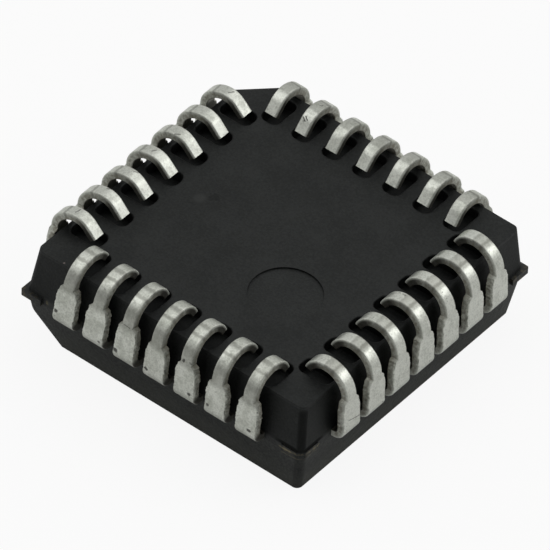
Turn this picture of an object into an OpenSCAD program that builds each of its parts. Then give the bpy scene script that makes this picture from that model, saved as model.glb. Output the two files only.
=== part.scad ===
// Plastic leaded chip carrier with 28 J-shaped leads, in millimetres.
// It lies on its marking face, as it does when it is turned over to show its leads:
// Z = 0 is the marking face, +Z points to the side that is soldered, and the leads
// are numbered clockwise seen from +Z, starting at the middle of the -X side.

/* [Moulded body] */
// Width of the body where its two halves meet
body_w = 11.52; // [10:0.02:14]
// Distance that the edge of the marking face is set in from the widest line
marking_set = 0.26; // [0.1:0.01:0.5]
// Distance that the edge of the underside is set in from the widest line
underside_set = 0.2; // [0.1:0.01:0.5]
// Thickness of the half that carries the marking face
marking_half_t = 1.71; // [1.4:0.01:2.2]
// Thickness of the half that faces the board
board_half_t = 1.7; // [1.2:0.01:2.2]
// Leg of the small chamfers on three upright corners
corner_cut = 0.2; // [0.1:0.01:0.5]
// Leg of the large chamfer on the index corner
index_cut = 1.08; // [0.8:0.01:1.4]
// Width that the 45 degree bevel along the index side takes from the marking face
index_bevel = 1.1; // [0.6:0.01:1.4]

/* [Moulded marks] */
// Diameter of the round ejector mark in the underside
ejector_d = 2.5; // [1:0.05:3]
// Depth of the round ejector mark
ejector_depth = 0.06; // [0.03:0.01:0.15]
// Distance of the ejector mark from the centre, along X and along Y
ejector_off = 1.77; // [0:0.01:2.2]
// Diameter of the dimple that marks lead 1 on the marking face
dimple_d = 1; // [0.5:0.05:1.5]
// Depth of the lead 1 dimple
dimple_depth = 0.1; // [0.05:0.01:0.2]
// Distance of the dimple's centre from the edge of the index bevel
dimple_inset = 1; // [0.8:0.05:2]

/* [Corner tabs] */
// Distance that two of the corner tabs stand out from the body
tab_reach = 0.13; // [0.04:0.01:0.2]
// Distance that the worn tab at the +X -Y corner stands out
worn_reach = 0.03; // [0.02:0.01:0.2]
// Length of each arm of a corner tab
tab_l = 0.85; // [0.5:0.01:1.2]
// Leg of the cut across the tip of a corner tab that isn't worn
tab_cut = 0.05; // [0.02:0.01:0.3]

/* [Leads] */
// Number of leads on each side, an odd number
per_side = 7; // [5:2:7]
// Spacing of the leads
pitch = 1.27; // [1.2:0.01:1.3]
// Thickness of the lead strip
lead_t = 0.25; // [0.2:0.01:0.3]
// Width of the lead around its J bend
lead_w = 0.46; // [0.33:0.01:0.53]
// Width of the lead's shoulder
shoulder_w = 0.81; // [0.7:0.01:0.85]
// Width of the shoulder just before it steps down to the J
shoulder_top_w = 0.64; // [0.54:0.01:0.69]
// Height of the shoulder's straight sides above the lead's lower face
shoulder_h = 1.19; // [0.8:0.01:1.3]
// Height of the shoulder's sloping sides
shoulder_taper = 0.36; // [0.1:0.01:0.4]
// Height of the small step at the top of the shoulder
shoulder_step = 0.05; // [0.02:0.01:0.1]
// Length of the flat foot between the body and the lower bend
foot_l = 0.065; // [0.02:0.005:0.2]
// Outer radius of the lower bend
bend_r = 0.45; // [0.3:0.01:0.5]
// Outer radius of the J, up to the soldering plane
j_r = 1.03; // [0.8:0.01:1.14]
// Outer radius of the J from there to its tip
tip_r = 0.84; // [0.64:0.01:1.1]
// Angle at which a lead leans in above its lower bend
lean = 4.3; // [0:0.1:6]
// Direction in which the J ends, in degrees from level
j_end = 162; // [140:1:175]
// Height of the soldering plane above the underside
standoff = 0.71; // [0.51:0.01:1]

/* [Tip pockets] */
// Depth of the pocket under each lead's tip
pocket_depth = 0.45; // [0.2:0.01:0.6]
// Clearance beside the tip
pocket_side = 0.1; // [0.05:0.01:0.15]
// Clearance in front of the tip
pocket_gap = 0.18; // [0.1:0.01:0.3]
// Thickness of the rim between the pocket and the side of the body
pocket_rim = 0.16; // [0.1:0.01:0.25]

/* [Inner frame] */
// Distance of the finger tips from the centre
finger_ring = 3.2; // [3:0.05:3.6]
// Spacing of the finger tips
finger_pitch = 0.79; // [0.7:0.01:0.9]
// Width of the finger tips
finger_w = 0.4; // [0.25:0.01:0.5]
// Length of the parallel root of each finger, inside the body
finger_root = 0.55; // [0.3:0.01:0.8]
// Width of the die paddle
paddle_w = 5.2; // [4.2:0.05:5.6]
// Distance that the paddle is set away from the fingers, towards the underside
paddle_set = 0.35; // [0.3:0.01:0.5]
// Width of the four tie bars
tie_w = 0.2; // [0.12:0.01:0.3]
// Distance between the end of a tie bar and the body's corner, under a tab
tie_back = 0.12; // [0.05:0.01:0.3]
// Length of the sloping part of each tie bar, along its diagonal
tie_slope = 0.5; // [0.3:0.01:0.7]
// Length of tie bar that stays level with the paddle, past its corner
tie_level = 0.4; // [0.2:0.01:0.6]

/* [Die and wires] */
// Width of the die
die_w = 3.6; // [2.5:0.05:4.4]
// Thickness of the die
die_t = 0.38; // [0.3:0.01:0.42]
// Thickness of the adhesive under the die
attach_t = 0.03; // [0.02:0.005:0.05]
// Distance that the adhesive shows around the die
attach_margin = 0.05; // [0.02:0.01:0.1]
// Diameter of the bond wires
wire_d = 0.03; // [0.025:0.001:0.04]
// Distance of the bond pads from the die's edge
pad_inset = 0.15; // [0.08:0.01:0.3]
// Spacing of the bond pads
pad_pitch = 0.42; // [0.25:0.01:0.5]
// Height of the wire loops over the die
loop_h = 0.2; // [0.12:0.01:0.3]
// Distance of each wire's end from the tip of its finger
bond_inset = 0.15; // [0.1:0.01:0.3]
// Share of the wire's span that runs nearly level
loop_run = 0.65; // [0.4:0.01:0.8]

/* [Hidden] */
$fn = 64;
// a cut reaches this far past the face that it opens
over = 1;
// flat sides of a bond wire
wire_sides = 6;
lead_count = 4 * per_side;
mid_slot = (per_side - 1) / 2;
LEADS = [for (p = [1 : lead_count]) p];

// the strip that the leads are cut from lies between the two halves of the body
frame_z = marking_half_t;
frame_top = frame_z + lead_t;
underside_z = frame_top + board_half_t;
seat_z = underside_z + standoff;

// widths of the body at each level where the slope of its sides changes
marking_w = body_w - 2 * marking_set;
underside_w = body_w - 2 * underside_set;
LEVELS = [0, frame_z, frame_top, underside_z];
WIDTHS = [marking_w, body_w, body_w, underside_w];

// side view of a lead: its lower bend and its J are circles that a leaning run touches
lead_reach = body_w / 2 + foot_l + bend_r;
bend_c = [lead_reach - bend_r, frame_z + bend_r];
run_rise = seat_z - j_r - bend_c[1] + (j_r - bend_r) * sin(lean);
run_l = run_rise / cos(lean);
j_x = bend_c[0] - (j_r - bend_r) * cos(lean) - run_l * sin(lean);
tip_d = j_x + tip_r * cos(j_end);

// slope of the body's sides in the marking half, and the height of the index bevel there
marking_draft = marking_set / marking_half_t;
bevel_h = index_bevel / (1 - marking_draft);

paddle_z = frame_z + paddle_set;
attach_z = paddle_z - attach_t;
die_z = attach_z - die_t;
dimple_x = -marking_w / 2 + index_bevel + dimple_inset;

EPOXY = [0.17, 0.175, 0.18];
TIN = [0.8, 0.8, 0.77];
COPPER = [0.72, 0.45, 0.3];

function two_digits(n) = n < 10 ? str("0", n) : str(n);
function lead_name(p) = str("lead_", two_digits(p));

// Place of lead p: its side of the body, counted from -X, and its slot along that side
function place(p) = (p - 1 + mid_slot) % lead_count;
function side_turn(p) = 180 - 90 * floor(place(p) / per_side);
function slot(p) = mid_slot - place(p) % per_side;

// Turn a shape that lies towards +X to the side that lead p is on
module on_side(p) {
    rotate([0, 0, side_turn(p)])
        children();
}

// Turn a shape so that its plane stands upright along +X, with its own Y as height
module upright() {
    rotate([90, 0, 0])
        children();
}

// Moulded body

// Half width across two sides, and across two corners that have a chamfer with this leg
function across_sides(w) = w / 2;
function across_corners(w, cut) = (w - cut) / sqrt(2);

// Prism of one outline of the body, given by its left and its right half at each level
module outline_prism(left, right) {
    right_edge = [for (i = [0 : 3]) [right[i], LEVELS[i]]];
    left_edge = [for (i = [3 : -1 : 0]) [-left[i], LEVELS[i]]];
    upright()
        linear_extrude(2 * body_w, center = true)
            polygon(concat(right_edge, left_edge));
}

// Block with sloping sides, three small corner chamfers and the index chamfer at -X +Y
module drafted_block() {
    sides = [for (w = WIDTHS) across_sides(w)];
    corners = [for (w = WIDTHS) across_corners(w, corner_cut)];
    index = [for (w = WIDTHS) across_corners(w, index_cut)];
    intersection() {
        outline_prism(sides, sides);
        rotate([0, 0, 90])
            outline_prism(sides, sides);
        rotate([0, 0, 45])
            outline_prism(corners, corners);
        rotate([0, 0, -45])
            outline_prism(index, corners);
    }
}

// Wedge that the index bevel takes off the -X side of the marking face
module bevel_cut() {
    edge = -marking_w / 2 + index_bevel;
    upright()
        linear_extrude(2 * body_w, center = true)
            polygon([
                [edge + over, -over],
                [edge - bevel_h - over, bevel_h + over],
                [edge - bevel_h - over, -over]
            ]);
}

// Level plate, as thick as the lead strip, that shows as a tab at a corner
module corner_tab(reach, cut) {
    half = body_w / 2 + reach;
    root = half - tab_l;
    tip = half - cut;
    translate([0, 0, frame_z])
        linear_extrude(lead_t)
            polygon([[root, root], [half, root], [half, tip], [tip, half], [root, half]]);
}

// Recess in the underside below the tip of lead p
module pocket(p) {
    inner = tip_d - pocket_gap;
    outer = underside_w / 2 - pocket_rim;
    width = lead_w + 2 * pocket_side;
    on_side(p)
        translate([inner, slot(p) * pitch - width / 2, underside_z - pocket_depth])
            cube([outer - inner, width, pocket_depth + over]);
}

module ejector_mark() {
    translate([ejector_off, -ejector_off, underside_z - ejector_depth])
        cylinder(d = ejector_d, h = ejector_depth + over);
}

module lead_1_dimple() {
    translate([dimple_x, 0, -over])
        cylinder(d = dimple_d, h = dimple_depth + over);
}

module body() {
    color(EPOXY)
        difference() {
            union() {
                drafted_block();
                for (turn = [0, 180])
                    rotate([0, 0, turn])
                        corner_tab(tab_reach, tab_cut);
                rotate([0, 0, -90])
                    corner_tab(worn_reach, corner_cut);
            }
            bevel_cut();
            lead_1_dimple();
            ejector_mark();
            for (p = LEADS) {
                pocket(p);
                finger(p);
            }
            paddle_frame();
            adhesive();
            chip();
            for (p = LEADS)
                wire(p);
        }
}

// Leads

// Flat finger of lead p, from its tip near the die to the lower bend outside the body
module finger(p) {
    s = slot(p) * pitch;
    t = slot(p) * finger_pitch;
    root = body_w / 2 - finger_root;
    on_side(p)
        translate([0, 0, frame_z])
            linear_extrude(lead_t)
                polygon([
                    [finger_ring, t - finger_w / 2],
                    [root, s - shoulder_w / 2],
                    [bend_c[0], s - shoulder_w / 2],
                    [bend_c[0], s + shoulder_w / 2],
                    [root, s + shoulder_w / 2],
                    [finger_ring, t + finger_w / 2]
                ]);
}

// Strip of width w, bent round the Z axis from the X axis on, with outer radius r
module bend(r, w, angle) {
    rotate_extrude(angle = angle)
        translate([r - lead_t, -w / 2])
            square([lead_t, w]);
}

// Straight run along Y from the lower bend, with the shoulder that narrows to the J
module run() {
    taper_z = shoulder_h - bend_r;
    step_z = taper_z + shoulder_taper;
    narrow_z = step_z + shoulder_step;
    half = [
        [shoulder_w / 2, 0],
        [shoulder_w / 2, taper_z],
        [shoulder_top_w / 2, step_z],
        [lead_w / 2, narrow_z],
        [lead_w / 2, run_l]
    ];
    mirrored = [for (i = [len(half) - 1 : -1 : 0]) [-half[i][0], half[i][1]]];
    translate([bend_r - lead_t, 0, 0])
        rotate([0, 90, 0])
            linear_extrude(lead_t)
                polygon(concat(half, mirrored));
}

// Side view of a lead round the centre of its lower bend, each piece set on the end of the last
module formed_strip() {
    rotate([0, 0, -90])
        bend(bend_r, shoulder_w, 90 + lean);
    rotate([0, 0, lean]) {
        run();
        translate([bend_r - j_r, run_l, 0]) {
            bend(j_r, lead_w, 90 - lean);
            rotate([0, 0, 90 - lean])
                translate([j_r - tip_r, 0, 0])
                    bend(tip_r, lead_w, j_end - 90);
        }
    }
}

module lead(p) {
    color(TIN)
        union() {
            finger(p);
            on_side(p)
                translate([bend_c[0], slot(p) * pitch, bend_c[1]])
                    upright()
                        formed_strip();
        }
}

// Die paddle with its tie bars

// Level square plate on the centre line
module plate(w, z, t) {
    translate([-w / 2, -w / 2, z])
        cube([w, w, t]);
}

// Side view of a tie bar along its diagonal, out to the distance that it is cut off at
module tie_bar(cut_off) {
    level = paddle_w / sqrt(2) + tie_level;
    slope_end = level + tie_slope;
    lower = [[0, paddle_z], [level, paddle_z], [slope_end, frame_z], [cut_off, frame_z]];
    upper = [for (i = [len(lower) - 1 : -1 : 0]) lower[i] + [0, lead_t]];
    upright()
        linear_extrude(tie_w, center = true)
            polygon(concat(lower, upper));
}

module paddle_frame() {
    plate(paddle_w, paddle_z, lead_t);
    for (turn = [-135, -45, 45])
        rotate([0, 0, turn])
            tie_bar(across_corners(body_w, corner_cut) - tie_back);
    rotate([0, 0, 135])
        tie_bar(across_corners(body_w, index_cut));
}

module die_paddle() {
    color(COPPER)
        paddle_frame();
}

// Die, adhesive and wires

module adhesive() {
    plate(die_w + 2 * attach_margin, attach_z, attach_t);
}

module chip() {
    plate(die_w, die_z, die_t);
}

module die_attach() {
    color("gainsboro")
        adhesive();
}

module die() {
    color("slategray")
        chip();
}

// Ring of a wire: its lateral axis is level, and its other axis is stretched to the mitre
function ring(at, lateral, mitre) = [
    for (i = [0 : wire_sides - 1])
        let (a = 360 * (i + 0.5) / wire_sides)
            at + wire_d / 2 * (cos(a) * lateral + sin(a) * mitre)
];

// Mitre vector between two directions in the wire's upright plane
function mitre(before, after, lateral) =
    let (mid = (before + after) / norm(before + after), across = cross(mid, lateral))
        across / (mid * before);

// Bond wire of lead p: up from its pad, along its loop and down onto its finger
module wire(p) {
    pad = [die_w / 2 - pad_inset, slot(p) * pad_pitch, die_z];
    bond = [finger_ring + bond_inset, slot(p) * finger_pitch, frame_z];
    level = [bond[0] - pad[0], bond[1] - pad[1], 0];
    along = level / norm(level);
    lateral = [-along[1], along[0], 0];
    rise = pad - [0, 0, loop_h];
    fall = rise + loop_run * level;
    up = [0, 0, -1];
    over_die = (fall - rise) / norm(fall - rise);
    down = (bond - fall) / norm(bond - fall);
    rings = concat(
        ring(pad, lateral, cross(up, lateral)),
        ring(rise, lateral, mitre(up, over_die, lateral)),
        ring(fall, lateral, mitre(over_die, down, lateral)),
        ring(bond, lateral, -along / down[2])
    );
    last = 3 * wire_sides;
    walls = [
        for (k = [0 : 2], i = [0 : wire_sides - 1])
            let (j = (i + 1) % wire_sides, a = k * wire_sides)
                [a + i, a + i + wire_sides, a + j + wire_sides, a + j]
    ];
    ends = [
        [for (i = [0 : wire_sides - 1]) i],
        [for (i = [wire_sides - 1 : -1 : 0]) last + i]
    ];
    on_side(p)
        polyhedron(rings, concat(walls, ends));
}

module bond_wires() {
    color("gold")
        for (p = LEADS)
            wire(p);
}

body();
for (p = LEADS)
    lead(p);
die_paddle();
die_attach();
die();
bond_wires();
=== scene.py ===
import math
import random

import bpy
from mathutils import Matrix, Vector, noise


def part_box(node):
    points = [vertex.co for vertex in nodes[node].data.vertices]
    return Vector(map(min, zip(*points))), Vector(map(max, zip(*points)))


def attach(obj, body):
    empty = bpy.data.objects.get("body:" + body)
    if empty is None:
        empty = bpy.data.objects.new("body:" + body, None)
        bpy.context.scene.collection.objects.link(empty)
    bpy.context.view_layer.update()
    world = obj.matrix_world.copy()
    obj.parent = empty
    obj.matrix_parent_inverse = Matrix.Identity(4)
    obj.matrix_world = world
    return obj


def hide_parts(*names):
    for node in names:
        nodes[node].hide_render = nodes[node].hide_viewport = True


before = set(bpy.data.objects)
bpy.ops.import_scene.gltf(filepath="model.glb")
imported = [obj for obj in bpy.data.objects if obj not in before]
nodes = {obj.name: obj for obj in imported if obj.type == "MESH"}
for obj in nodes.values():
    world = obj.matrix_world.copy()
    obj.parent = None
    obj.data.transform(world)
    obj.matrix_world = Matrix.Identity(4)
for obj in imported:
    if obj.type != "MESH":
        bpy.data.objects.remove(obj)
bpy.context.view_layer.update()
mm = 0.001  # shapes are drawn in millimetres and shrunk to metres at the end
tiny = 0.00001  # keeps a line of no length from dividing by zero
noiseMean = 0.5  # middle of a noise texture's range
print("frame loaded,", len(nodes), "nodes")


# shader graph helpers

class Wire:
    # one socket of a finish, usable in Python sums
    def __init__(self, finish, socket):
        self.finish = finish
        self.socket = socket

    def sum(self, operation, first, second):
        return self.finish.node("ShaderNodeMath", {"operation": operation}, {0: first, 1: second})

    def __add__(self, other):
        return self.sum("ADD", self, other)

    def __radd__(self, other):
        return self.sum("ADD", other, self)

    def __sub__(self, other):
        return self.sum("SUBTRACT", self, other)

    def __rsub__(self, other):
        return self.sum("SUBTRACT", other, self)

    def __mul__(self, other):
        return self.sum("MULTIPLY", self, other)

    def __rmul__(self, other):
        return self.sum("MULTIPLY", other, self)

    def __truediv__(self, other):
        return self.sum("DIVIDE", self, other)

    def __rtruediv__(self, other):
        return self.sum("DIVIDE", other, self)

    def atLeast(self, other):
        return self.sum("MAXIMUM", self, other)

    def atMost(self, other):
        return self.sum("MINIMUM", self, other)

    def size(self):
        return self.finish.node("ShaderNodeMath", {"operation": "ABSOLUTE"}, {0: self})

    def ease(self, low, high):  # 0 below low, 1 above high, smooth between
        return self.finish.node(
            "ShaderNodeMapRange",
            {"interpolation_type": "SMOOTHSTEP"},
            {"Value": self, "From Min": low, "From Max": high},
        )


class Finish:
    def __init__(self, name, tree=None):
        self.material = None
        if tree is None:
            self.material = bpy.data.materials.new(name)
            self.material.use_nodes = True
            tree = self.material.node_tree
        self.tree = tree
        self.tree.nodes.clear()

    def node(self, kind, settings=None, sockets=None, output=0):
        made = self.tree.nodes.new(kind)
        for key, value in (settings or {}).items():
            setattr(made, key, value)
        for key, value in (sockets or {}).items():
            if isinstance(value, Wire):
                self.tree.links.new(value.socket, made.inputs[key])
            else:
                made.inputs[key].default_value = value
        return Wire(self, made.outputs[output]) if made.outputs else None

    def vector(self, operation, sockets, output=0):
        return self.node("ShaderNodeVectorMath", {"operation": operation}, sockets, output)

    def place(self):  # position on the object, in millimetres
        spot = self.node("ShaderNodeTexCoord", output=3)
        return self.vector("SCALE", {0: spot, "Scale": 1 / mm})

    def axes(self, vector):
        split = self.node("ShaderNodeSeparateXYZ", None, {0: vector})
        outputs = split.socket.node.outputs
        return [Wire(self, outputs[i]) for i in range(3)]

    def stretch(self, vector, factors):
        return self.vector("MULTIPLY", {0: vector, 1: factors})

    def fromLine(self, spot, start, end):  # distance of a spot from the line between two others
        line = self.vector("SUBTRACT", {0: end, 1: start})
        away = self.vector("SUBTRACT", {0: spot, 1: start})
        square = self.vector("DOT_PRODUCT", {0: line, 1: line}, 1)
        share = self.vector("DOT_PRODUCT", {0: away, 1: line}, 1) / (square + tiny)
        nearest = self.vector("SCALE", {0: line, "Scale": share.atLeast(0.0).atMost(1.0)})
        return self.vector("DISTANCE", {0: away, 1: nearest}, 1)

    def speckle(self, vector, scale, detail=2.0, roughness=0.5):
        return self.node(
            "ShaderNodeTexNoise",
            None,
            {"Vector": vector, "Scale": scale, "Detail": detail, "Roughness": roughness},
        )

    def tint(self, share, first, second):
        return self.node(
            "ShaderNodeMix", {"data_type": "RGBA"}, {0: share, 6: first, 7: second}, output=2
        )

    def stored(self, name, output):
        return self.node("ShaderNodeAttribute", {"attribute_name": name}, None, output)

    def relief(self, height, depth):  # depth in millimetres
        return self.node(
            "ShaderNodeBump", None, {"Strength": 1.0, "Distance": depth * mm, "Height": height}
        )

    def surface(self, sockets):
        shader = self.node("ShaderNodeBsdfPrincipled", None, sockets)
        self.node("ShaderNodeOutputMaterial", None, {"Surface": shader})
        return self.material


def grey(level):
    return (level, level, level, 1.0)


# finishes

epoxyLook = {
    "dark": (0.0012, 0.0015, 0.0015, 1.0),
    "light": (0.0170, 0.0180, 0.0176, 1.0),
    "flash": (0.085, 0.070, 0.042, 1.0),
    "seamLine": (0.26, 0.22, 0.12, 1.0),
    "pale": (0.055, 0.057, 0.050, 1.0),
    "dulled": (0.0060, 0.0064, 0.0062, 1.0),
    "gloss": 0.38,
    "glossTint": (0.95, 1.0, 0.97, 1.0),
    "roughness": 0.44,
    "grainRoughness": 0.12,
    "coarseRoughness": 0.06,
    # noises: scale, detail, roughness
    "cloud": (0.9, 3.0, 0.6),
    "grain": (13.0, 3.0, 0.65),
    "spark": (5.0, 2.0, 0.5),
    "ragged": (6.0, 3.0, 0.7),
    "cloudShare": 0.35,
    "grainShare": 0.65,
    "mottleRange": (0.34, 0.66),
    "grainHeight": 0.6,
    "grainDepth": 0.014,
    "sparkDepth": 0.014,
    # marking half: its edge above and below the lead frame, its dust, and painted bounce light from the
    # floor that makes it paler towards the bottom
    "coarseEdge": (0.05, 0.1),
    "dustRange": (0.38, 0.66),
    "dustShare": 0.4,
    "bounceLightRange": (1.1, 0.1),
    "bounceLightShare": 0.6,
    # flash at the corners
    "flashCorner": (4.95, 5.1),
    "flashSeam": (0.19, 0.09),
    "flashReach": (0.02, 0.05),
    "flashRagged": (0.46, 0.66),
    "flashShare": 0.85,
    # two lines at the near corner, which lies where x - y is largest
    "lineFrom": 10.6,
    "lineStart": (-0.06, 0.1),
    "lineSlope": 0.107,
    "lineHeight": 1.80,
    "lineWidth": (0.045, 0.015),
    "faintHeight": 1.57,
    "faintWidth": (0.04, 0.01),
    "faintShare": 0.35,
    "lineRagged": (0.36, 0.58),
    "lineShare": 0.6,
    "speckCore": 0.4,
    # where the gloss is duller, and by how much
    "sideFade": 0.1,
    "sideDull": 0.33,
    "topFade": (0.12, 0.04),
    "topDull": 0.20,
    "nearFade": 0.25,
    "nearReach": (0.34, 0.14),
    "nearLow": 0.5,
    "nearDull": 0.72,
    # a dull dark band just above the seam by the near corner is painted ledge shadow
    "ledgeShadowHeight": 0.06,
    "ledgeShadowWidth": (0.11, 0.03),
    "ledgeShadowReach": (10.1, 10.7),
    "ledgeShadowDull": 0.8,
    "smudge": (-2.80, 0.20, 3.66),
    "smudgeReach": (0.36, 0.1),
    "smudgeRagged": 0.3,
    "smudgeDull": 0.38,
}

# place, radius, share and colour of small marks on the moulding
bodySpecks = [
    ((-4.86, -5.86, 1.88), 0.14, 0.8, (0.20, 0.17, 0.07, 1.0)),
    ((-4.50, -5.40, 3.66), 0.05, 0.9, (0.22, 0.18, 0.17, 1.0)),
    ((-3.15, -0.15, 3.66), 0.28, 0.6, (0.034, 0.035, 0.034, 1.0)),
]


def makeEpoxy(frameZ, frameTop, topZ, bodyHalf, slope, lowSlope):
    look = epoxyLook
    finish = Finish("mouldedEpoxy")
    place = finish.place()
    x, y, z = finish.axes(place)
    cloud = finish.speckle(place, *look["cloud"])
    grain = finish.speckle(place, *look["grain"])
    spark = finish.speckle(place, *look["spark"])
    ragged = finish.speckle(place, *look["ragged"])
    mottle = cloud * look["cloudShare"] + grain * look["grainShare"]
    colour = finish.tint(mottle.ease(*look["mottleRange"]), look["dark"], look["light"])
    # the marking half is coarser than the polished underside and paler with dust in its grain; painted
    # bounce light from the floor makes it paler still towards the bottom
    above, below = look["coarseEdge"]
    coarse = z.ease(frameTop + above, frameZ - below)
    dustAndBounceLight = grain.ease(*look["dustRange"]) * look["dustShare"] + z.ease(*look["bounceLightRange"]) * look["bounceLightShare"]
    colour = finish.tint(coarse * dustAndBounceLight, colour, look["pale"])
    # tan flash where the two halves of the mould met at the corners
    outer = x.size().atLeast(y.size())
    inner = x.size().atMost(y.size())
    seam = (z - (frameZ + frameTop) / 2).size().ease(*look["flashSeam"])
    within, past = look["flashReach"]
    flash = inner.ease(*look["flashCorner"]) * seam * outer.ease(bodyHalf - within, bodyHalf + past)
    flash = flash * ragged.ease(*look["flashRagged"])
    colour = finish.tint(flash * look["flashShare"], colour, look["flash"])
    # a thin line and a faint one along the seam at the near corner
    along = x - y - look["lineFrom"]
    height = z - along * look["lineSlope"]
    line = (height - look["lineHeight"]).size().ease(*look["lineWidth"])
    faint = (height - look["faintHeight"]).size().ease(*look["faintWidth"]) * look["faintShare"]
    worn = line.atLeast(faint) * along.ease(*look["lineStart"]) * ragged.ease(*look["lineRagged"])
    colour = finish.tint(worn * look["lineShare"], colour, look["seamLine"])
    for spot, radius, share, shade in bodySpecks:
        away = finish.vector("DISTANCE", {0: place, 1: spot}, 1) + (grain - noiseMean) * radius
        colour = finish.tint(away.ease(radius, radius * look["speckCore"]) * share, colour, shade)
    relief = grain * look["grainHeight"] + spark * coarse * (look["sparkDepth"] / look["grainDepth"])
    shiny = finish.node("ShaderNodeBsdfPrincipled", None, {
        "Base Color": colour,
        "Roughness": look["roughness"] + grain * look["grainRoughness"] + coarse * look["coarseRoughness"],
        "Specular IOR Level": look["gloss"],
        "Specular Tint": look["glossTint"],
        "Normal": finish.relief(relief, look["grainDepth"]),
    })
    # less gloss on the upper sides and the underside, least at the near corner; a dull dark band just above
    # its seam is painted ledge shadow
    matte = finish.node("ShaderNodeBsdfDiffuse", None, {"Color": look["dulled"]})
    upper = z.ease(frameTop, frameTop + look["sideFade"])
    start, end = look["topFade"]
    top = z.ease(topZ - start, topZ - end)
    swell = z.ease(topZ, topZ - look["nearFade"])
    rounded = x - y + (z - frameTop).atLeast(0.0) * slope + (frameZ - z).atLeast(0.0) * lowSlope
    start, end = look["nearReach"]
    near = rounded.ease(2 * bodyHalf - start, 2 * bodyHalf - end) * swell
    near = near * (upper * (1 - look["nearLow"]) + look["nearLow"])
    # painted ledge shadow: a dull dark band just above the seam by the near corner
    ledgeShadow = (z - frameTop - look["ledgeShadowHeight"]).size().ease(*look["ledgeShadowWidth"])
    ledgeShadow = ledgeShadow * (x - y).ease(*look["ledgeShadowReach"])
    smudge = finish.vector("DISTANCE", {0: place, 1: look["smudge"]}, 1)
    smudge = smudge + (grain - noiseMean) * look["smudgeRagged"]
    dull = (upper * (1 - top) * look["sideDull"]).atLeast(top * look["topDull"])
    dull = dull.atLeast(smudge.ease(*look["smudgeReach"]) * look["smudgeDull"])
    dull = dull.atLeast(near * look["nearDull"]).atLeast(ledgeShadow * look["ledgeShadowDull"])
    both = finish.node("ShaderNodeMixShader", None, {0: dull, 1: shiny, 2: matte})
    finish.node("ShaderNodeOutputMaterial", None, {"Surface": both})
    return finish.material


tinLook = {
    "bright": (0.75, 0.77, 0.70, 1.0),
    "dull": (0.56, 0.58, 0.515, 1.0),
    # rubbed tin; it also paints shade on the J and on the run below it
    "rubbedAndShaded": (0.17, 0.17, 0.145, 1.0),
    "torn": (0.27, 0.255, 0.20, 1.0),
    # dark stains; also painted shade by the body and at the tip
    "stainAndShade": (0.036, 0.034, 0.027, 1.0),
    "roughness": 0.34,
    "dullRoughness": 0.14,
    "grainRoughness": 0.08,
    "cutRoughness": 0.30,
    # noises: scale, detail, roughness
    "cloud": (2.2, 3.0, 0.6),
    "grain": (15.0, 3.0, 0.7),
    "drag": (1.0, 3.0, 0.6),
    "chips": (7.0, 2.0, 0.6),
    "dirt": (4.5, 2.0, 0.6),
    "dragStretch": (9.0, 9.0, 3.0),
    "cloudShare": 0.55,
    "grainShare": 0.2,
    "dragShare": 0.25,
    "wearRange": (0.36, 0.62),
    "pitRange": (0.58, 0.36),
    "pitShare": 0.2,
    "grainHeight": 0.8,
    "dragHeight": 0.3,
    "grainDepth": 0.005,
    # marks of the forming tool and painted shade on the J and the run below it, in degrees round the J
    "bowWander": 9.0,
    "patchEdge": 3.5,
    "lowRunShadeAlong": (1.35, 1.6),
    "lowRunShadeBow": (45.0, 30.0),
    "lineWidth": (5.5, 1.0),
    "lineGrain": 0.5,
    "lineShare": 0.3,
    # sheared sides, and painted shade on the inner face, by the tip and at the foot
    "chipRange": (0.36, 0.62),
    "chipShare": 0.75,
    "plainShare": 0.25,
    "tornDepth": (-0.04, -0.14),
    "tornShare": 0.75,
    "insideDepth": (-0.24, -0.28),
    "insideShare": 0.8,
    "tipAlong": (3.1, 3.8),
    "tipDepth": (-0.03, -0.12),
    "footAcross": (0.05, 0.15),
    "footAlong": (0.5, 0.2),
    "shadeShare": 0.9,
    # stains
    "dirtRange": (0.70, 0.76),
    "dirtShare": 0.5,
    "stainRagged": 1.2,
    "stainRange": (1.15, 0.55),
    "stainDepth": (-0.06, -0.02),
    "dirtMetal": 0.8,
    "cutMetal": 0.45,
}
markNames = ("markOne", "markTwo")


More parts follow.
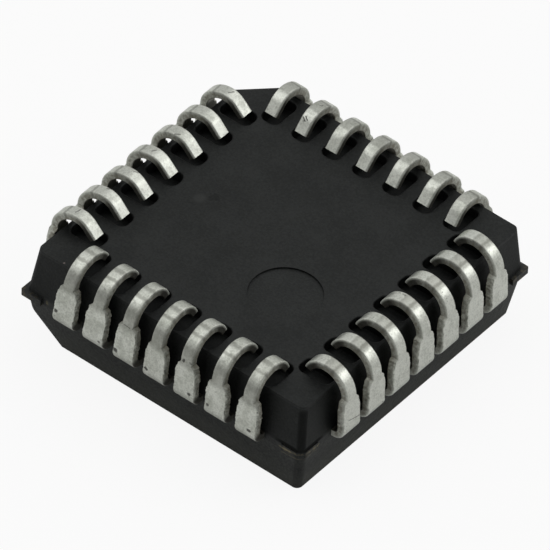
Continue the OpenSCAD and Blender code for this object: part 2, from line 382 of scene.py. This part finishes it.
def makeTin():
    look = tinLook
    finish = Finish("matteTin")
    place = finish.place()
    ribbon = finish.stored("strip", 1)  # along the strip, across it, and depth below its outer face
    along, across, depth = finish.axes(ribbon)
    cut = finish.stored("cut", 2)  # 1 on the sheared sides
    curl = finish.stored("curl", 2)  # direction of the outer face's normal, in degrees
    # the dull patch is partly worn by the forming tool and partly painted shade that sets how bright the J
    # is at each angle
    centre, reach, patch = finish.axes(finish.stored("patch", 1))  # dull patch of the J, in degrees
    # painted shade on the run below the J, painted light that sets each row's brightness, and where the
    # forming line lies
    lowRunShade, rowLight, fold = finish.axes(finish.stored("worn", 1))
    cloud = finish.speckle(place, *look["cloud"])
    grain = finish.speckle(place, *look["grain"])
    drag = finish.speckle(finish.stretch(place, look["dragStretch"]), *look["drag"])
    mottle = cloud * look["cloudShare"] + grain * look["grainShare"] + drag * look["dragShare"]
    # worn and bright tin, raised in each row by its painted light
    wearAndRowLight = (mottle.ease(*look["wearRange"]) + rowLight).atMost(1.0)
    colour = finish.tint(wearAndRowLight, look["dull"], look["bright"])
    colour = finish.tint(grain.ease(*look["pitRange"]) * look["pitShare"], colour, look["rubbedAndShaded"])
    # the forming tool dulled a patch of the J and left a ragged line at its start; the patch is partly
    # painted shade, and the run below the J gets painted shade in one row
    bow = curl + (drag - noiseMean) * look["bowWander"]
    rubAndShade = (bow - centre).size().ease(reach + look["patchEdge"], reach - look["patchEdge"])
    runShade = along.ease(*look["lowRunShadeAlong"]) * bow.ease(*look["lowRunShadeBow"]) * lowRunShade
    colour = finish.tint((rubAndShade * patch).atLeast(runShade), colour, look["rubbedAndShaded"])
    line = (bow - fold).size().ease(*look["lineWidth"]) * (grain * look["lineGrain"] + look["lineShare"])
    colour = finish.tint(line, colour, look["rubbedAndShaded"])
    # sheared sides: smooth by the outer face, torn and brown below it; painted shade darkens the inner
    # face, the sides by the tip and the foot by the body
    chips = finish.speckle(place, *look["chips"]).ease(*look["chipRange"])
    torn = cut * depth.ease(*look["tornDepth"]) * (chips * look["chipShare"] + look["plainShare"])
    inside = depth.ease(*look["insideDepth"])
    tornAndShade = (torn * look["tornShare"]).atLeast(inside * look["insideShare"])
    colour = finish.tint(tornAndShade, colour, look["torn"])
    # painted shade by the tip and at the foot
    tip = cut.atLeast(inside) * along.ease(*look["tipAlong"]) * depth.ease(*look["tipDepth"])
    foot = (cut * across.ease(*look["footAcross"])).atLeast(inside) * along.ease(*look["footAlong"])
    colour = finish.tint(tip.atLeast(foot) * look["shadeShare"], colour, look["stainAndShade"])
    dirt = finish.speckle(place, *look["dirt"]).ease(*look["dirtRange"]) * look["dirtShare"]
    level = (1.0, 1.0, 0.0)  # leaves out the depth
    flat = finish.stretch(ribbon, level)
    for name in markNames:
        start = finish.stored(name + "Start", 1)
        end = finish.stored(name + "End", 1)
        radius = finish.axes(start)[2]
        strength = finish.axes(end)[2]
        ring = finish.fromLine(flat, finish.stretch(start, level), finish.stretch(end, level))
        stain = (ring / radius + (grain - noiseMean) * look["stainRagged"]).ease(*look["stainRange"])
        dirt = dirt.atLeast(stain * strength * depth.ease(*look["stainDepth"]))
    colour = finish.tint(dirt, colour, look["stainAndShade"])
    roughness = look["roughness"] + (1 - wearAndRowLight) * look["dullRoughness"] + grain * look["grainRoughness"]
    height = grain * look["grainHeight"] + drag * look["dragHeight"] - dirt
    return finish.surface({
        "Base Color": colour,
        "Metallic": 1 - (dirt * look["dirtMetal"]).atLeast(cut * look["cutMetal"]),
        "Roughness": roughness + cut * look["cutRoughness"],
        "Normal": finish.relief(height, look["grainDepth"]),
    })


# name, two colours, metallic and roughness of each inner piece
innerLooks = {
    "die_paddle": ("rolledCopper", (0.50, 0.25, 0.14, 1.0), (0.66, 0.36, 0.22, 1.0), 1.0, 0.34),
    "die_attach": ("silverAdhesive", (0.42, 0.42, 0.40, 1.0), (0.62, 0.62, 0.60, 1.0), 0.6, 0.55),
    "die": ("polishedSilicon", (0.16, 0.18, 0.22, 1.0), (0.25, 0.28, 0.33, 1.0), 0.7, 0.16),
    "bond_wires": ("drawnGold", (0.80, 0.56, 0.20, 1.0), (0.93, 0.70, 0.32, 1.0), 1.0, 0.22),
}

innerGrain = {
    "rolledStretch": (2.0, 18.0, 2.0),
    "rolled": (1.0, 3.0, 0.6),
    "grain": (14.0, 3.0, 0.6),
    "rolledShare": 0.6,
    "grainShare": 0.4,
    "mixRange": (0.3, 0.7),
    "roughness": 0.12,
    "depth": 0.002,
}


def makeInner(name, low, high, metallic, roughness):
    look = innerGrain
    finish = Finish(name)
    place = finish.place()
    rolled = finish.speckle(finish.stretch(place, look["rolledStretch"]), *look["rolled"])
    grain = finish.speckle(place, *look["grain"])
    mix = (rolled * look["rolledShare"] + grain * look["grainShare"]).ease(*look["mixRange"])
    return finish.surface({
        "Base Color": finish.tint(mix, low, high),
        "Metallic": metallic,
        "Roughness": roughness + grain * look["roughness"],
        "Normal": finish.relief(rolled, look["depth"]),
    })


# mesh helpers

def roundCorners(points, radii, steps):
    made = []
    for i, (spot, radius) in enumerate(zip(points, radii)):
        corner = Vector(spot)
        back = (Vector(points[i - 1]) - corner).normalized()
        ahead = (Vector(points[(i + 1) % len(points)]) - corner).normalized()
        half = back.angle(ahead) / 2
        centre = corner + (back + ahead).normalized() * (radius / math.sin(half))
        start = corner + back * (radius / math.tan(half)) - centre
        turn = math.pi - 2 * half
        if back.cross(ahead) > 0:
            turn = -turn
        for k in range(steps + 1):
            angle = turn * k / steps
            swing = Matrix.Rotation(angle, 2)
            made.append(centre + swing @ start)
    return made


def loft(rings):
    # closed solid through rings with the same number of points
    count = len(rings[0])
    verts = [p for ring in rings for p in ring]
    faces = [tuple(range(count - 1, -1, -1))]
    for k in range(len(rings) - 1):
        for i in range(count):
            j = (i + 1) % count
            faces.append((k * count + i, k * count + j, (k + 1) * count + j, (k + 1) * count + i))
    last = (len(rings) - 1) * count
    faces.append(tuple(last + i for i in range(count)))
    return verts, faces


def joined(solids):
    verts = []
    faces = []
    for someVerts, someFaces in solids:
        start = len(verts)
        verts.extend(someVerts)
        faces.extend(tuple(start + i for i in face) for face in someFaces)
    return verts, faces


def meshObject(name, solid):
    mesh = bpy.data.meshes.new(name)
    mesh.from_pydata([tuple(v) for v in solid[0]], [], solid[1])
    mesh.update()
    made = bpy.data.objects.new(name, mesh)
    bpy.context.scene.collection.objects.link(made)
    return made


def addModifier(piece, kind, **settings):
    made = piece.modifiers.new(kind, kind)
    for key, value in settings.items():
        setattr(made, key, value)
    return made


def bake(piece):
    # replace the mesh by the one its modifiers give
    seen = piece.evaluated_get(bpy.context.evaluated_depsgraph_get())
    mesh = bpy.data.meshes.new_from_object(seen)
    piece.modifiers.clear()
    old = piece.data
    piece.data = mesh
    bpy.data.meshes.remove(old)


def seat(piece, node, material):
    # to metres, onto the part, in place of its solid
    piece.data.transform(Matrix.Scale(mm, 4))
    piece.data.materials.clear()
    piece.data.materials.append(material)
    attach(piece, "root")
    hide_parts(node)


# moulded body

leadLow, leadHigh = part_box("lead_01")
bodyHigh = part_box("body")[1]
frameZ = leadLow.z / mm
seatZ = leadHigh.z / mm
leadReach = -leadLow.x / mm
undersideZ = bodyHigh.z / mm
tabHalf = bodyHigh.x / mm

leadFrame = {
    "thickness": 0.25,
    "pitch": 1.27,
    "perSide": 7,
}
frameTop = frameZ + leadFrame["thickness"]

bodyShape = {
    "half": 5.76,
    "markingHalf": 5.5,
    "undersideHalf": 5.565,
    "undersideShift": (-0.02, 0.10),
    "cornerRound": 0.22,
    "cornerSteps": 8,
    "indexCut": 1.08,
    "indexRound": 0.1,
    "indexBevel": 1.1,
    "bevelReach": 3.0,
    "bevelHalf": 8.0,
    "cutOver": 1.0,
    "edgeRound": 0.035,
    "edgeSteps": 3,
    "edgeAngle": 28.0,
    "normalWeight": 50,
    "ejectorSpot": (1.77, -1.77),
    "ejectorRadius": 1.25,
    "ejectorDepth": 0.06,
    "dimpleSpot": (-3.4, 0.0),
    "dimpleRadius": 0.5,
    "dimpleDepth": 0.1,
    "discSteps": 72,
    "pocketInner": 4.14,
    "pocketOuter": 5.40,
    "pocketHalf": 0.345,
    "pocketDepth": 0.45,
    "pocketRound": 0.25,
    "pocketSteps": 5,
    "pocketRim": 0.065,
    "rimSteps": 4,
    "rimLip": (0.01, 0.004),
    "pocketOver": 0.5,
    "tabLength": 0.85,
    "tabCut": 0.05,
    "wornReach": 0.03,
    "wornCut": 0.2,
}


def bodyRing(half, z, shift=(0.0, 0.0)):
    cut = bodyShape["indexCut"]
    corners = [(half, -half), (half, half), (cut - half, half), (-half, half - cut), (-half, -half)]
    radius = bodyShape["cornerRound"]
    chamfer = bodyShape["indexRound"]
    radii = [radius, radius, chamfer, chamfer, radius]
    outline = roundCorners(corners, radii, bodyShape["cornerSteps"])
    return [Vector((p.x + shift[0], p.y + shift[1], z)) for p in outline]


def bodyBlock():
    shape = bodyShape
    return loft([
        bodyRing(shape["markingHalf"], 0.0),
        bodyRing(shape["half"], frameZ),
        bodyRing(shape["half"], frameTop),
        bodyRing(shape["undersideHalf"], undersideZ, shape["undersideShift"]),
    ])


def prism(outline, low, high):
    return loft([[Vector((p[0], p[1], z)) for p in outline] for z in (low, high)])


def disc(spot, radius, low, high):
    steps = bodyShape["discSteps"]
    turn = 2 * math.pi / steps
    outline = []
    for i in range(steps):
        outline.append((spot[0] + radius * math.cos(i * turn), spot[1] + radius * math.sin(i * turn)))
    return prism(outline, low, high)


def turned(solid, side):
    swing = Matrix.Rotation(side * math.pi / 2, 3, "Z")
    return [swing @ v for v in solid[0]], solid[1]


def slotOffsets():
    middle = (leadFrame["perSide"] - 1) / 2
    return [(k - middle) * leadFrame["pitch"] for k in range(leadFrame["perSide"])]


def pocketLevels():
    # how far the outline of a pocket is grown at each height: straight walls and a rounded rim
    rim = bodyShape["pocketRim"]
    steps = bodyShape["rimSteps"]
    levels = [(0.0, -bodyShape["pocketDepth"])]
    for i in range(steps):
        angle = math.pi / 2 * i / steps
        levels.append((rim - rim * math.cos(angle), rim * math.sin(angle) - rim))
    lip, rise = bodyShape["rimLip"]
    return levels + [(rim + lip, rise), (rim + lip, bodyShape["pocketOver"])]


def pocketCuts():
    shape = bodyShape
    cuts = []
    for offset in slotOffsets():
        rings = []
        for grown, above in pocketLevels():
            inner = shape["pocketInner"] - grown
            outer = shape["pocketOuter"] + grown
            half = shape["pocketHalf"] + grown
            left = offset - half
            right = offset + half
            corners = [(inner, left), (outer, left), (outer, right), (inner, right)]
            outline = roundCorners(corners, [shape["pocketRound"] + grown] * 4, shape["pocketSteps"])
            rings.append([Vector((p.x, p.y, undersideZ + above)) for p in outline])
        cuts.extend(turned(loft(rings), side) for side in range(4))
    return cuts


def bevelCut():
    edge = bodyShape["indexBevel"] - bodyShape["markingHalf"]
    reach = bodyShape["bevelReach"]
    half = bodyShape["bevelHalf"]
    over = bodyShape["cutOver"]
    section = [(edge + over, -over), (edge - reach, reach), (edge - reach, -over)]
    return loft([[Vector((p[0], y, p[1])) for p in section] for y in (half, -half)])


def roundCuts():
    shape = bodyShape
    over = shape["cutOver"]
    ejectorFloor = undersideZ - shape["ejectorDepth"]
    return [
        disc(shape["ejectorSpot"], shape["ejectorRadius"], ejectorFloor, undersideZ + over),
        disc(shape["dimpleSpot"], shape["dimpleRadius"], -over, shape["dimpleDepth"]),
    ]


def cornerTab(half, cut):
    root = half - bodyShape["tabLength"]
    tip = half - cut
    outline = [(root, root), (half, root), (half, tip), (tip, half), (root, half)]
    return prism(outline, frameZ, frameTop)


def cornerTabs():
    plain = cornerTab(tabHalf, bodyShape["tabCut"])
    worn = cornerTab(bodyShape["half"] + bodyShape["wornReach"], bodyShape["wornCut"])
    return [turned(worn, -1), turned(plain, 0), turned(plain, 2)]


def makeBody(material):
    shape = bodyShape
    piece = meshObject("moulding", bodyBlock())
    tabs = meshObject("tabSolids", joined(cornerTabs()))
    tools = meshObject("cutSolids", joined(pocketCuts() + [bevelCut()] + roundCuts()))
    addModifier(piece, "BOOLEAN", operation="UNION", solver="EXACT", object=tabs)
    addModifier(piece, "BOOLEAN", operation="DIFFERENCE", solver="EXACT", object=tools)
    addModifier(
        piece,
        "BEVEL",
        width=shape["edgeRound"],
        segments=shape["edgeSteps"],
        limit_method="ANGLE",
        angle_limit=math.radians(shape["edgeAngle"]),
        use_clamp_overlap=True,
        miter_outer="MITER_ARC",
    )
    bake(piece)
    for helper in (tabs, tools):
        bpy.data.objects.remove(helper)
    for face in piece.data.polygons:
        face.use_smooth = True
    addModifier(piece, "WEIGHTED_NORMAL", mode="FACE_AREA", weight=shape["normalWeight"], keep_sharp=True)
    bake(piece)
    seat(piece, "body", material)
    print("moulding", len(piece.data.polygons), "faces")


# leads

leadShape = {
    "thickness": 0.29,
    "narrow": 0.46,
    "shoulder": 0.86,
    "shoulderTop": 0.69,
    "shoulderHeight": 1.19,
    "shoulderTaper": 0.36,
    "shoulderStep": 0.06,
    "bendRadius": 0.45,
    "bendSteps": 18,
    "bendLead": 0.12,
    "lean": 4.3,
    "runSteps": 72,
    "jRadius": 1.03,
    "jSteps": 52,
    "tipRadius": 0.724,
    "tipSteps": 24,
    "jEnd": 135.8,
    "tipRun": 0.46,
    "tipStep": 0.033,
    "tipRoom": 0.08,
    "fingerRing": 3.2,
    "fingerPitch": 0.79,
    "fingerWidth": 0.40,
    "fingerRoot": 0.55,
    "outerRound": 0.045,
    "innerRound": 0.03,
    "roundSteps": 3,
    "sideStops": (0.08, 0.36, 0.64, 0.92),
    "sharpAngle": 50.0,
    # ragged edges: depth, where they start, reach full depth, fade and end, and their noises
    "burr": 0.046,
    "burrStart": 0.1,
    "burrFull": 0.05,
    "burrFade": (0.12, 0.25),
    "burrEnd": (0.5, 0.1),
    "burrMix": (0.45, 0.8, 0.9),
    "roughScale": (5, 6, 4),
    "chipScale": (14, 7, 8),
    "edgeStart": 0.03,
    "edgeFade": 0.02,
    # waves and creases in the outer face
    "wave": 0.006,
    "waveScale": (2.4, 3.0, 0.0),
    "faceDepth": 0.06,
    "creaseDepth": 0.005,
    "creaseWidth": 0.05,
    "creaseAngle": 63.0,
    "stepCrease": 0.6,
    "stepWidth": 0.03,
    "jitter": 1.0,
    "seedReach": 90,
    "sideBendFoot": 2.3,
    "sideBendRise": 2.0,
}

# stains and scuffs: along and across the strip where each starts and ends, radius, strength
leadMarks = {
    1: [(3.15, 0.04, 3.22, -0.08, 0.030, 0.7)],
    2: [(3.18, 0.20, 3.32, 0.10, 0.030, 0.6)],
    4: [(3.28, 0.06, 3.38, -0.10, 0.028, 0.6)],
    6: [(3.72, 0.17, 3.82, 0.03, 0.022, 0.9), (3.66, 0.09, 3.75, -0.03, 0.022, 0.9)],
    18: [(0.79, -0.19, 0.64, 0.37, 0.016, 0.8)],
    19: [(0.51, 0.12, 0.50, 0.20, 0.060, 0.9)],
    20: [(0.56, -0.29, 0.57, -0.27, 0.060, 0.8)],
    21: [(0.52, 0.21, 0.52, 0.25, 0.065, 0.9), (1.70, -0.11, 1.76, -0.09, 0.050, 0.9)],
    22: [(0.52, -0.31, 0.49, -0.25, 0.060, 0.9)],
    23: [(0.50, -0.33, 0.47, -0.29, 0.080, 0.9), (1.63, -0.15, 1.60, 0.10, 0.022, 0.6)],
    24: [(0.39, 0.27, 0.39, 0.29, 0.050, 0.8)],
    25: [(0.58, -0.31, 0.58, -0.29, 0.075, 0.9)],
    26: [(3.08, 0.06, 3.13, -0.13, 0.030, 0.7)],
    27: [(3.12, -0.14, 3.24, -0.21, 0.030, 0.6)],
    28: [(3.28, -0.12, 3.42, -0.20, 0.030, 0.5)],
}
noMark = (-9.0, 0.0, -9.0, 0.0, 0.01, 0.0)  # lies off the strip

# dull patch of the J in each row, partly wear and partly painted shade (middle and half its length in
# degrees, strength), then how much painted shade darkens the run below it, how bright painted light makes
# the rest and where the line across the J lies in degrees
rowWearAndLight = [
    ((98.0, 30.0, 0.14), (0.0, 0.4, 63.0)),
    ((82.0, 20.0, 0.35), (0.0, 0.15, 63.0)),
    ((76.0, 16.0, 0.50), (0.1, 0.40, 69.5)),
    ((85.5, 5.0, 0.50), (0.45, 0.0, 63.0)),
]
# the two front rows curl in further at the tip
frontTip = {"tipRadius": 0.83, "jEnd": 160.0, "tipRun": 0.02}

# how each lead is bent: shift along the row, sideways bend 2 mm above the foot, inward turn in degrees
leadBends = {
    1: (0.005, 0.008, -1.33),
    2: (0.007, 0.004, -1.04),
    3: (-0.004, -0.009, -0.20),
    4: (-0.006, 0.008, -2.06),
    5: (0.018, 0.031, 0.10),
    6: (0.004, 0.020, 1.28),
    7: (0.0, 0.011, 0.83),
    8: (-0.003, 0.008, 0.72),
    9: (0.010, 0.042, 0.14),
    10: (0.0, -0.012, 0.44),
    11: (0.034, 0.024, 4.35),
    12: (0.044, -0.003, -0.70),
    13: (0.024, 0.033, -1.28),
    14: (0.018, 0.025, -1.00),
    15: (0.008, 0.034, -0.81),
    16: (0.008, 0.036, -0.88),
    17: (-0.001, 0.063, -0.73),
    18: (-0.006, 0.022, -0.75),
    19: (0.003, -0.049, 2.74),
    20: (-0.002, -0.022, 0.88),
    21: (-0.010, -0.046, 1.04),
    22: (-0.016, 0.0, 1.73),
    23: (-0.010, 0.026, 4.97),
    24: (-0.019, 0.035, 6.76),
    25: (-0.007, 0.027, 7.60),
    26: (0.009, 0.026, -0.24),
    27: (-0.003, -0.012, 0.23),
    28: (0.021, 0.019, -0.17),
}


def outward(angle):
    return Vector((math.cos(angle), math.sin(angle)))


def onward(angle):
    return Vector((-math.sin(angle), math.cos(angle)))


def sidePath(shape):
    # outer face of the strip in side view: place, direction of its normal, length along the strip
    lean = math.radians(shape["lean"])
    extra = shape["jRadius"] - shape["bendRadius"]
    bend = Vector((leadReach - shape["bendRadius"], frameZ + shape["bendRadius"]))
    run = (seatZ - shape["jRadius"] - bend.y + extra * math.sin(lean)) / math.cos(lean)
    apex = bend.x - extra * math.cos(lean) - run * math.sin(lean)
    ring = shape["fingerRing"]
    root = bodyShape["half"] - shape["fingerRoot"]
    down = -math.pi / 2
    path = []
    for out in (ring, (ring + root) / 2, root, bend.x - shape["bendLead"], bend.x):
        path.append((Vector((out, frameZ)), down, out - bend.x))
    steps = shape["bendSteps"]
    for i in range(1, steps + 1):
        angle = down + (lean - down) * i / steps
        length = shape["bendRadius"] * (angle - down)
        path.append((bend + outward(angle) * shape["bendRadius"], angle, length))
    start = path[-1][0]
    foot = path[-1][2]
    steps = shape["runSteps"]
    for i in range(1, steps + 1):
        reach = run * i / steps
        path.append((start + onward(lean) * reach, lean, foot + reach))
    runEnd = foot + run
    length = runEnd
    first = lean
    arcs = [
        (shape["jRadius"], math.pi / 2, shape["jSteps"]),
        (shape["tipRadius"], math.radians(shape["jEnd"]), shape["tipSteps"]),
    ]
    for radius, last, steps in arcs:
        middle = Vector((apex, seatZ - radius))
        for i in range(1, steps + 1):
            angle = first + (last - first) * i / steps
            path.append((middle + outward(angle) * radius, angle, length + radius * (angle - first)))
        length += radius * (last - first)
        first = last
    start = path[-1][0]
    steps = max(2, round(shape["tipRun"] / shape["tipStep"]))
    for i in range(1, steps + 1):
        reach = shape["tipRun"] * i / steps
        path.append((start + onward(first) * reach, first, length + reach))
    return path, foot, runEnd, lean, bend, apex


def clamp(value):
    return min(1.0, max(0.0, value))


def bump(away, width):
    return math.exp(-(away / width) ** 2)


def noiseAt(scales, place, seed):
    return noise.noise(Vector([scale * at for scale, at in zip(scales, place)]) + seed)


def between(value, stops):
    # straight lines through (place, height) stops
    if value <= stops[0][0]:
        return stops[0][1]
    for (a, low), (b, high) in zip(stops, stops[1:]):
        if value <= b:
            return low + (high - low) * (value - a) / (b - a)
    return stops[-1][1]


def stripSection(half, shape):
    # rounded outline across the strip: place across it and depth below its outer face
    low = -shape["thickness"]
    corners = [(-half, low), (half, low), (half, 0.0), (-half, 0.0)]
    outer = shape["outerRound"]
    inner = shape["innerRound"]
    steps = shape["roundSteps"]
    rounded = roundCorners(corners, [inner, inner, outer, outer], steps)
    made = []
    for i, p in enumerate(rounded):
        made.append(p)
        if i % (steps + 1) == steps:
            after = rounded[(i + 1) % len(rounded)]
            made.extend([p.lerp(after, share) for share in shape["sideStops"]])
    return made


def store(mesh, name, kind, values):
    mesh.attributes.new(name, kind, "POINT")
    mesh.attributes[name].data.foreach_set("value" if kind == "FLOAT" else "vector", values)


def makeLead(number, shape, material):
    perSide = leadFrame["perSide"]
    middle = (perSide - 1) // 2
    place = (number - 1 + middle) % (4 * perSide)
    row = place // perSide
    if row > 1:
        shape = {**shape, **frontTip}
    path, foot, runEnd, lean, pivot, apex = sidePath(shape)
    swing = Matrix.Rotation(math.pi - math.pi / 2 * row, 3, "Z")
    slot = middle - place % perSide
    bendOut = leadReach - shape["bendRadius"]
    inner = shape["fingerRing"] - bendOut
    root = bodyShape["half"] - shape["fingerRoot"] - bendOut
    drift = [(inner, slot * shape["fingerPitch"]), (root, slot * leadFrame["pitch"])]
    full = foot + (shape["shoulderHeight"] - shape["bendRadius"])
    taper = full + shape["shoulderTaper"]
    widths = [
        (inner, shape["fingerWidth"] / 2),
        (root, shape["shoulder"] / 2),
        (full, shape["shoulder"] / 2),
        (taper, shape["shoulderTop"] / 2),
        (taper + shape["shoulderStep"], shape["narrow"] / 2),
    ]
    dice = random.Random(number)
    seed = Vector([dice.uniform(0, shape["seedReach"]) for axis in range(3)])
    jitter = dice.uniform(-shape["jitter"], shape["jitter"])
    shift, sideBend, turn = leadBends[number]
    turn = math.radians(turn)
    tall = seatZ - pivot.y
    squeeze = tall / (tall + max(0.0, -turn) * (pivot.x - apex))
    tipLimit = bodyShape["pocketInner"] + shape["tipRoom"]
    crease = runEnd + shape["jRadius"] * (math.radians(shape["creaseAngle"] - jitter) - lean)
    top = taper + shape["shoulderStep"] / 2
    burrStops = [
        (foot - shape["burrStart"], 0.0),
        (foot + shape["burrFull"], 1.0),
        (top, 1.0),
        (top + shape["burrFade"][0], shape["burrFade"][1]),
        (runEnd + shape["burrEnd"][0], shape["burrEnd"][1]),
    ]
    plain, roughShare, chipShare = shape["burrMix"]
    rings = []
    stored = []
    cuts = []
    curls = []
    for spot, angle, along in path:
        bent = clamp(along / foot)
        swung = Matrix.Rotation(turn * bent, 2)
        if angle > math.pi / 2 and (pivot + swung @ (spot - pivot)).x < tipLimit:
            break
        half = between(along, widths)
        normal = outward(angle)
        burr = between(along, burrStops) * shape["burr"]
        formed = shape["creaseDepth"] * bump(along - crease, shape["creaseWidth"])
        formed += shape["stepCrease"] * shape["creaseDepth"] * bump(along - top, shape["stepWidth"])
        ring = []
        for p in stripSection(half, shape):
            across = p.x
            depth = p.y
            edge = clamp((abs(across) - half + shape["edgeStart"]) / shape["edgeFade"])
            if along > foot - shape["burrStart"]:
                side = math.copysign(1, across)
                rough = noiseAt(shape["roughScale"], (along, depth, side), seed)
                chip = noiseAt(shape["chipScale"], (along, depth, side), seed)
                across -= side * edge * burr * (plain + roughShare * rough + chipShare * chip)
                wave = noiseAt(shape["waveScale"], (along, across, 0.0), seed)
                face = clamp(1 + depth / shape["faceDepth"])
                depth -= face * (formed + shape["wave"] * (0.5 + 0.5 * wave))
            flat = swung @ (spot + normal * depth - pivot)
            out = min(pivot.x + flat.x, leadReach)
            high = pivot.y + flat.y * (squeeze if flat.y > 0 else 1.0)
            above = 0.0
            if along > foot:
                above = max(0.0, (high - shape["sideBendFoot"]) / shape["sideBendRise"])
            sideways = between(along, drift) + across + shift * bent + sideBend * above
            ring.append(swing @ Vector((out, sideways, high)))
            stored.extend((along - foot + shape["bendRadius"], p.x, p.y))
            cuts.append(edge)
            curls.append(math.degrees(angle) + jitter)
        rings.append(ring)
    piece = meshObject("jLead%02d" % number, loft(rings))
    mesh = piece.data
    count = len(cuts)
    store(mesh, "strip", "FLOAT_VECTOR", stored)
    store(mesh, "cut", "FLOAT", cuts)
    store(mesh, "curl", "FLOAT", curls)
    patch, worn = rowWearAndLight[row]
    store(mesh, "patch", "FLOAT_VECTOR", patch * count)
    store(mesh, "worn", "FLOAT_VECTOR", worn * count)
    marks = leadMarks.get(number, []) + [noMark, noMark]
    for name, (along, across, endAlong, endAcross, radius, strength) in zip(markNames, marks):
        store(mesh, name + "Start", "FLOAT_VECTOR", (along, across, radius) * count)
        store(mesh, name + "End", "FLOAT_VECTOR", (endAlong, endAcross, strength) * count)
    for face in mesh.polygons:
        face.use_smooth = True
    mesh.set_sharp_from_angle(angle=math.radians(shape["sharpAngle"]))
    seat(piece, "lead_%02d" % number, material)
    return piece


# stage, light and camera

stageLook = {
    "floorSize": 3.0,
    "floorDrop": 0.000004,
    "floorColour": (0.93, 0.93, 0.93, 1.0),
    "whiteShare": 0.90,
    "dome": 0.60,
    "dim": 0.18,
    "dimSide": (0.59, -0.78, 0.2),
    "dimRange": (0.15, 0.75),
}

# azimuth, elevation, distance, width and height in metres, radiance
lamps = {
    "rightBox": (134.0, 38.0, 0.28, 0.13, 0.12, 1.75),
    "leftBox": (-58.0, 59.0, 0.28, 0.20, 0.20, 0.70),
    "topBox": (180.0, 60.0, 0.28, 0.15, 0.14, 0.9),
}

cameraView = {
    "target": (0.0, 0.0, 2.5),
    "azimuth": 36.98,
    "elevation": 44.16,
    "roll": 3.14,
    "distance": 315.0,
    "shiftRight": -0.040,
    "shiftUp": -0.297,
    "focalPixels": 9690.0,
    "framePixels": 550.0,
    "sensor": 36.0,
    "clipStart": 0.01,
    "clipEnd": 10.0,
}


def direction(azimuth, elevation):
    a = math.radians(azimuth)
    e = math.radians(elevation)
    return Vector((math.sin(a) * math.cos(e), -math.cos(a) * math.cos(e), math.sin(e)))


def makeFloor():
    look = stageLook
    reach = look["floorSize"] / 2
    corners = [(-reach, -reach), (reach, -reach), (reach, reach), (-reach, reach)]
    floor = meshObject("floor", ([(x, y, -look["floorDrop"]) for x, y in corners], [(0, 1, 2, 3)]))
    finish = Finish("paleFloor")
    matte = finish.node("ShaderNodeBsdfDiffuse", None, {"Color": look["floorColour"]})
    white = finish.node("ShaderNodeEmission", None, {"Color": grey(1.0), "Strength": 1.0})
    seen = finish.node("ShaderNodeLightPath")
    share = seen * look["whiteShare"]
    shown = finish.node("ShaderNodeMixShader", None, {0: share, 1: matte, 2: white})
    finish.node("ShaderNodeOutputMaterial", None, {"Surface": shown})
    floor.data.materials.append(finish.material)


def makeLight():
    look = stageLook
    world = bpy.data.worlds.new("studio")
    bpy.context.scene.world = world
    world.use_nodes = True
    # an even pale room, darker on the side that faces the near corner
    sky = Finish("studio", world.node_tree)
    way = sky.node("ShaderNodeTexCoord")
    facing = sky.vector("DOT_PRODUCT", {0: way, 1: look["dimSide"]}, 1)
    room = sky.tint(facing.ease(*look["dimRange"]), grey(look["dome"]), grey(look["dim"]))
    dome = sky.node("ShaderNodeBackground", None, {"Color": room, "Strength": 1.0})
    sky.node("ShaderNodeOutputWorld", None, {"Surface": dome})
    for name, (azimuth, elevation, distance, width, height, radiance) in lamps.items():
        data = bpy.data.lights.new(name, "AREA")
        data.shape = "RECTANGLE"
        data.size = width
        data.size_y = height
        data.energy = radiance * math.pi * width * height
        lamp = bpy.data.objects.new(name, data)
        back = direction(azimuth, elevation)
        lamp.location = back * distance
        lamp.rotation_mode = "QUATERNION"
        lamp.rotation_quaternion = back.to_track_quat("Z", "Y")
        lamp.visible_camera = False
        bpy.context.scene.collection.objects.link(lamp)


def makeCamera():
    view = cameraView
    back = direction(view["azimuth"], view["elevation"])
    a = math.radians(view["azimuth"])
    right = Vector((math.cos(a), math.sin(a), 0))
    up = back.cross(right)
    roll = math.radians(view["roll"])
    across = right * math.cos(roll) + up * math.sin(roll)
    above = up * math.cos(roll) - right * math.sin(roll)
    spot = Vector(view["target"]) + across * view["shiftRight"] + above * view["shiftUp"]
    spot += back * view["distance"]
    data = bpy.data.cameras.new("camera")
    data.sensor_width = view["sensor"]
    data.lens = view["focalPixels"] / view["framePixels"] * view["sensor"]
    data.clip_start = view["clipStart"]
    data.clip_end = view["clipEnd"]
    camera = bpy.data.objects.new("camera", data)
    turn = Matrix((across, above, back)).transposed().to_4x4()
    camera.matrix_world = Matrix.Translation(spot * mm) @ turn
    bpy.context.scene.collection.objects.link(camera)
    bpy.context.scene.camera = camera


# build

bpy.context.scene.view_settings.view_transform = "Standard"
shiftRight, shiftBack = bodyShape["undersideShift"]
inset = 2 * (bodyShape["half"] - bodyShape["undersideHalf"]) - shiftRight + shiftBack
lowInset = 2 * (bodyShape["half"] - bodyShape["markingHalf"])
slope = inset / (undersideZ - frameTop)
lowSlope = lowInset / frameZ
epoxy = makeEpoxy(frameZ, frameTop, undersideZ, bodyShape["half"], slope, lowSlope)
tin = makeTin()
makeBody(epoxy)
leads = [makeLead(number, leadShape, tin) for number in range(1, 4 * leadFrame["perSide"] + 1)]
print("leads", len(leads), "with", sum(len(lead.data.polygons) for lead in leads), "faces")

for nodeName, (lookName, low, high, metallic, roughness) in innerLooks.items():
    solid = nodes[nodeName]
    solid.data.materials.clear()
    solid.data.materials.append(makeInner(lookName, low, high, metallic, roughness))
print("inner pieces finished")

makeFloor()
makeLight()
makeCamera()
print("stage, light and camera set")
